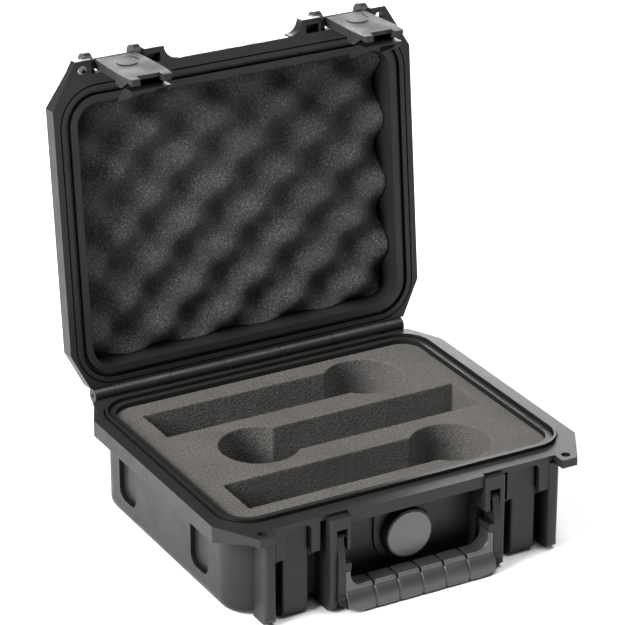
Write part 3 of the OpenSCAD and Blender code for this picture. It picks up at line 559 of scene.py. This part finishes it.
def wavedFoam():
    points, front, back = [], [], []
    columns, rows = waved["columns"], waved["rows"]
    for j in range(rows + 1):
        front.append([])
        back.append([])
        for i in range(columns + 1):
            x, y = drawnIn(foamWidth * (i / columns - 0.5), foamDepth * (j / rows - 0.5))
            front[-1].append(len(points))
            points.append(opened((x, y, waveHeight(x, y))))
            back[-1].append(len(points))
            points.append(opened((x, y, backHeight(x, y))))
    faces = joined(front, closed=False) + joined(back, closed=False)
    for a, b in (
        (front[0], back[0]),
        (front[-1], back[-1]),
        ([row[0] for row in front], [row[0] for row in back]),
        ([row[-1] for row in front], [row[-1] for row in back]),
    ):
        faces += joined([a, b], closed=False)
    return meshObject("wavedLidFoam", points, faces)


lidLining = wavedFoam()
lidLining.data.materials.append(looks["lidFoam"])
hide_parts("lid_foam")
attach(lidLining, "lid")

print("lid foam done")


# Seal in the lid's rim: how far it lies outside the inner wall, and its heights with the lid shut
seal = {
    "from": 5.15,
    "to": 8.15,
    "low": 73.55,
    "high": 76.25,
    "around": 16,
    "sideFullness": 0.55,
    "topFullness": 0.7,
    "dentDepth": 0.35,
    "dentHalf": 0.9,
    "step": 2.5,
    "waver": 0.05,
    "waverSize": 9.0,
}


# A value between -1 and 1, pushed outwards by a power
def fuller(value, power):
    return math.copysign(abs(value) ** power, value)


# A soft bead pressed into the lid's groove, with a shallow dent from the base's tongue
def sealRing():
    s = seal
    section = []
    for k in range(s["around"]):
        a = 2 * math.pi * k / s["around"]
        u = (s["to"] - s["from"]) / 2 * fuller(math.cos(a), s["sideFullness"])
        w = fuller(math.sin(a), s["topFullness"])
        z = (s["low"] + s["high"]) / 2 + w * (s["high"] - s["low"]) / 2
        if w < 0:
            z += s["dentDepth"] * math.exp(-((u / s["dentHalf"]) ** 2))
        off = (s["from"] + s["to"]) / 2 + u
        width, depth = case["innerWidth"] + 2 * off, case["innerDepth"] + 2 * off
        section.append((z, roundedLoop(width, depth, case["innerRadius"] + off, s["step"])))
    count = min(len(loop) for _, loop in section)
    points, rows = [], []
    for z, loop in section:
        row = []
        for i in range(count):
            px, py = loop[i * len(loop) // count][:2]
            row.append(len(points))
            waver = s["waver"] * evenNoise(px, py, z, s["waverSize"])
            points.append(opened((px, py, z + waver)))
        rows.append(row)
    return meshObject("sealBead", points, joined(rows + rows[:1]))


bead = sealRing()
bead.data.materials.append(looks["sealRubber"])
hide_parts("lid_seal")
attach(bead, "lid")

print("seal done")


# Soft grip of the handle in millimetres: the bar's (y, z) section, the (x, z) outline with its
# finger opening, the grooves across it and the frame's bar inside it
grip = {
    "back": -108.3,
    "front": -126.8,
    "low": 0.8,
    "top": 18.4,
    "topRadius": 7.3,
    "edgeRadius": 1.6,
    "armFront": -122.0,
    "armBack": -109.5,
    "armOverlap": (3, 9),
    "half": 56.2,
    "armHalf": 61.4,
    "cornerRun": 20.0,
    "cornerRadius": 30.0,
    "flareTop": 30.8,
    "gap": 52.0,
    "gapLift": 0.3,
    "fingerRadius": 9.0,
    "grooves": 5,
    "pitch": 17.6,
    "grooveWidth": 1.4,
    "grooveDepth": 0.9,
    "grooveSoft": 0.3,
    "pillow": 0.1,
    "pillowReach": 2.6,
    "core": (-117.8, -111.8, 5.6, 13.6),
    "coreGap": 0.15,
    "soft": 1.2,
    "endSoft": 0.4,
    "sink": 0.08,
    "waver": 0.05,
    "waverSize": 9.0,
    "step": (0.45, 0.5, 0.5),
}
farUp = 99  # above all of the grip


def boxDistance(u, v, u0, u1, v0, v1):
    return np.maximum(np.maximum(u0 - u, u - u1), np.maximum(v0 - v, v - v1))


# Distance to a convex outline given counterclockwise
def hullDistance(u, v, corners):
    far = None
    for (u0, v0), (u1, v1) in zip(corners, corners[1:] + corners[:1]):
        length = math.hypot(u1 - u0, v1 - v0)
        side = ((u - u0) * (v1 - v0) - (v - v0) * (u1 - u0)) / length
        far = side if far is None else np.maximum(far, side)
    return far


# The larger of two distances, with the edge where they meet rounded off
def softMax(a, b, width):
    h = np.maximum(width - np.abs(a - b), 0) / width
    return np.maximum(a, b) + h * h * width / 4


# The bar's section: a round top, a bulging front and small round edges below
def barDistance(y, z):
    g = grip
    r, e = g["topRadius"], g["edgeRadius"]
    topY, topZ = g["back"] - r, g["top"] - r
    section = np.hypot(y - topY, z - topZ) - r
    section = np.minimum(section, np.hypot(y - g["front"] - e, z - g["low"] - e) - e)
    heel = np.hypot(y - g["back"] + r / 2, z - g["low"] - r / 2) - r / 2
    section = np.minimum(section, heel)
    corners = [
        (g["front"] + e, g["low"]),
        (g["back"] - r / 2, g["low"]),
        (g["back"], g["low"] + r / 2),
        (g["back"], topZ),
        (topY - r, topZ),
        (g["front"], g["low"] + e),
    ]
    section = np.minimum(section, hullDistance(y, z, corners))
    wide, high = topY - g["front"], g["top"] - g["low"] - e
    bulge = (np.hypot((y - topY) / wide, (z - g["low"] - e) / high) - 1) * wide
    return np.minimum(section, np.maximum(bulge, np.maximum(y - topY, g["low"] + e - z)))


# The handle's outline from the front, with large round lower corners
def outlineDistance(ax, z):
    g = grip
    a, c = g["armHalf"] - g["cornerRun"], g["cornerRadius"]
    outline = np.minimum(
        boxDistance(ax, z, -1, g["armHalf"], g["low"] + c, farUp),
        boxDistance(ax, z, -1, a, g["low"], farUp),
    )
    return np.minimum(outline, np.hypot(ax - a, z - g["low"] - c) - c)


# The opening for the fingers, between the arms and above the bar
def openingDistance(ax, z):
    g = grip
    f, gap = g["fingerRadius"], g["gap"]
    opening = np.minimum(
        boxDistance(ax, z, -1, gap, g["top"] + f, farUp),
        boxDistance(ax, z, -1, gap - f, g["top"] + g["gapLift"], farUp),
    )
    return np.minimum(opening, np.hypot(ax - gap + f, z - g["top"] - f - g["gapLift"]) - f)


def gripValue(x, y, z):
    g = grip
    ax = np.abs(x)
    bar, outline = barDistance(y, z), outlineDistance(ax, z)
    below, above = g["armOverlap"]
    armLow = g["top"] - g["topRadius"] - below
    arms = boxDistance(y, z, g["armFront"], g["armBack"], armLow, g["flareTop"] + above)
    value = softMax(arms, softMax(outline, -openingDistance(ax, z), g["soft"]), g["soft"])
    value = np.minimum(softMax(bar, outline, g["soft"]), value)
    # grooves, each with a slight pillow beside it
    most = g["grooves"] // 2
    nearest = np.clip(np.round(x / g["pitch"]), -most, most) * g["pitch"]
    value = value + g["pillow"] * np.exp(-(((x - nearest) / g["pillowReach"]) ** 2))
    groove = np.maximum(np.abs(x - nearest) - g["grooveWidth"] / 2, -bar - g["grooveDepth"])
    value = softMax(value, -groove, g["grooveSoft"])
    # trimmed at both ends, and hollow round the frame's bar
    value = softMax(value, np.maximum(ax - g["half"], z - g["flareTop"]), g["endSoft"])
    y0, y1, z0, z1 = g["core"]
    loose = g["coreGap"]
    hollow = boxDistance(y, z, y0 - loose, y1 + loose, z0 - loose, z1 + loose)
    return np.maximum(value, -hollow) + g["sink"]


# Quads over the zero surface of a function, with one point in each grid cell that it crosses
def netSurface(value, low, high, step):
    axes = [np.arange(a, b + s, s) for a, b, s in zip(low, high, step)]
    shape = [len(axis) for axis in axes]
    cellShape = [n - 1 for n in shape]
    field = value(*np.meshgrid(*axes, indexing="ij"))
    corners = [(i, j, k) for i in (0, 1) for j in (0, 1) for k in (0, 1)]
    near = np.stack(
        [field[tuple(slice(c, c + n) for c, n in zip(corner, cellShape))] for corner in corners]
    )
    mixed = (near < 0).any(axis=0) & (near >= 0).any(axis=0)
    cells = np.argwhere(mixed)
    values = near[:, mixed]
    # each point is the mean of where the surface cuts its cell's edges
    total, crossings = np.zeros((len(cells), 3)), np.zeros(len(cells))
    for a, first in enumerate(corners):
        for b, second in enumerate(corners):
            if b > a and sum(abs(p - q) for p, q in zip(first, second)) == 1:
                crossed = (values[a] < 0) != (values[b] < 0)
                fall = np.where(crossed, values[a] - values[b], 1)
                share = np.where(crossed, values[a] / fall, 0)
                place = np.array(first) + share[:, None] * (np.array(second) - np.array(first))
                total += place * crossed[:, None]
                crossings += crossed
    points = np.array(low) + (cells + total / crossings[:, None]) * np.array(step)
    index = np.full(cellShape, -1)
    index[mixed] = np.arange(len(cells))
    faces = []
    for axis in range(3):
        u, v = [k for k in range(3) if k != axis]
        ahead = np.roll(field, -1, axis=axis)
        change = np.argwhere((field < 0) != (ahead < 0))
        inner = (change[:, axis] < shape[axis] - 1) & (change[:, u] > 0) & (change[:, v] > 0)
        inner &= (change[:, u] < shape[u] - 1) & (change[:, v] < shape[v] - 1)
        for cell in change[inner]:
            quad = []
            for du, dv in ((-1, -1), (0, -1), (0, 0), (-1, 0)):
                at = list(cell)
                at[u] += du
                at[v] += dv
                quad.append(int(index[tuple(at)]))
            faces.append(quad)
    return points, faces


# The sleeve, pushed a little out of true but never upwards
def gripSleeve():
    g = grip
    low = (-g["half"] - 1, g["front"] - 1, g["low"] - 1)
    high = (g["half"] + 1, g["back"] + 1, g["flareTop"] + 1)
    points, faces = netSurface(gripValue, low, high, g["step"])
    pushed = []
    for x, y, z in points:
        push = g["waver"] * evenNoise(x, y, z, g["waverSize"])
        pushed.append((x, y + 0.5 * push, z - 0.5 * abs(push)))
    return meshObject("softGrip", pushed, faces)


sleeve = gripSleeve()
sleeve.data.materials.append(looks["gripRubber"])
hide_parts("handle_grip")
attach(sleeve, "handle")

print("grip done")


# Material and width of the softened edges in millimetres
finishes = {
    "base_shell": ("shellPlastic", 0.6),
    "lid_shell": ("shellPlastic", 0.6),
    "handle_frame": ("shellPlastic", 0.6),
    "valve_body": ("valvePlastic", 0.3),
    "valve_cap": ("valveCapPlastic", 0.3),
    "valve_nut": ("valvePlastic", 0.3),
    "valve_membrane": ("membranePlastic", 0.1),
    "valve_oring": ("sealRubber", 0.15),
    "hinge_pin": ("pinSteel", 0.2),
}
sideFinishes = {
    "latch_body": ("latchPlastic", 0.35),
    "latch_trigger": ("triggerPlastic", 0.3),
    "latch_badge": ("badgePlastic", 0.15),
    "handle_pin": ("pinSteel", 0.15),
    "latch_pin": ("pinSteel", 0.15),
    "trigger_pin": ("pinSteel", 0.1),
    "trigger_spring": ("pinSteel", 0.1),
}
for piece, finish in sideFinishes.items():
    for side in ("left", "right"):
        finishes[f"{piece}_{side}"] = finish

softEdges = {"segments": 3, "angle": 35}

for name, (look, width) in finishes.items():
    obj = nodes[name]
    obj.data.materials.clear()
    obj.data.materials.append(looks[look])
    edges = obj.modifiers.new("softEdges", "BEVEL")
    edges.width = width * mm
    edges.segments = softEdges["segments"]
    edges.limit_method = "ANGLE"
    edges.angle_limit = math.radians(softEdges["angle"])
    edges.harden_normals = True

print("finishes done")


# Studio, in metres, degrees and watts
studio = {
    "camera": (-0.9420, -1.6683, 1.0196),
    "turn": (65.667, 0.0, -29.116),
    "lens": 181.9,
    "sensor": 36.0,
    "clip": (0.05, 50.0),
    "floorColour": (0.93, 0.93, 0.93, 1),
    "floorRoughness": 0.9,
    "floorSheen": 0.1,
    "floorSize": 3.8,
    "fill": 0.13,
    "backdrop": 1.0,
    # name, place, aim, width and height, power
    "lamps": [
        ("leftBox", (-2.5, -0.3, 1.55), (0.0, 0.0, 0.1), (1.5, 1.5), 200.0),
        ("topBox", (0.75, -0.5, 2.4), (0.0, 0.0, 0.1), (1.6, 1.3), 54.0),
        ("backBox", (1.1, 2.1, 0.52), (0.0, 0.0, 0.25), (2.0, 0.8), 66.0),
    ],
}

scene = bpy.context.scene
cameraData = bpy.data.cameras.new("mainCamera")
cameraData.sensor_width = studio["sensor"]
cameraData.lens = studio["lens"]
cameraData.clip_start, cameraData.clip_end = studio["clip"]
camera = bpy.data.objects.new("mainCamera", cameraData)
camera.location = studio["camera"]
camera.rotation_euler = [math.radians(a) for a in studio["turn"]]
scene.collection.objects.link(camera)
scene.camera = camera

for name, place, aim, size, power in studio["lamps"]:
    lampData = bpy.data.lights.new(name, "AREA")
    lampData.shape = "RECTANGLE"
    lampData.size, lampData.size_y = size
    lampData.energy = power
    lamp = bpy.data.objects.new(name, lampData)
    lamp.location = place
    lamp.rotation_euler = (Vector(aim) - Vector(place)).to_track_quat("-Z", "Y").to_euler()
    scene.collection.objects.link(lamp)

bpy.ops.mesh.primitive_plane_add(size=studio["floorSize"], location=(0, 0, 0))
floor = bpy.context.object
floor.name = "studioFloor"
floorMaterial = bpy.data.materials.new("paleFloor")
floorMaterial.use_nodes = True
floorShader = floorMaterial.node_tree.nodes["Principled BSDF"]
floorShader.inputs["Base Color"].default_value = studio["floorColour"]
floorShader.inputs["Roughness"].default_value = studio["floorRoughness"]
floorShader.inputs["Specular IOR Level"].default_value = studio["floorSheen"]
floor.data.materials.append(floorMaterial)

# The camera sees a white backdrop, and the object only the low fill
world = scene.world or bpy.data.worlds.new("studioWorld")
scene.world = world
world.use_nodes = True
tree = world.node_tree
tree.nodes.clear()
white = (1, 1, 1, 1)
seen = add(tree, "ShaderNodeLightPath").outputs["Is Camera Ray"]
fill, backdrop = [
    add(tree, "ShaderNodeBackground", inputs={"Color": white, "Strength": studio[part]}).outputs[0]
    for part in ("fill", "backdrop")
]
mixed = add(tree, "ShaderNodeMixShader", inputs={0: seen, 1: fill, 2: backdrop})
add(tree, "ShaderNodeOutputWorld", inputs={"Surface": mixed.outputs[0]})
scene.view_settings.view_transform = "Standard"

print("studio done")
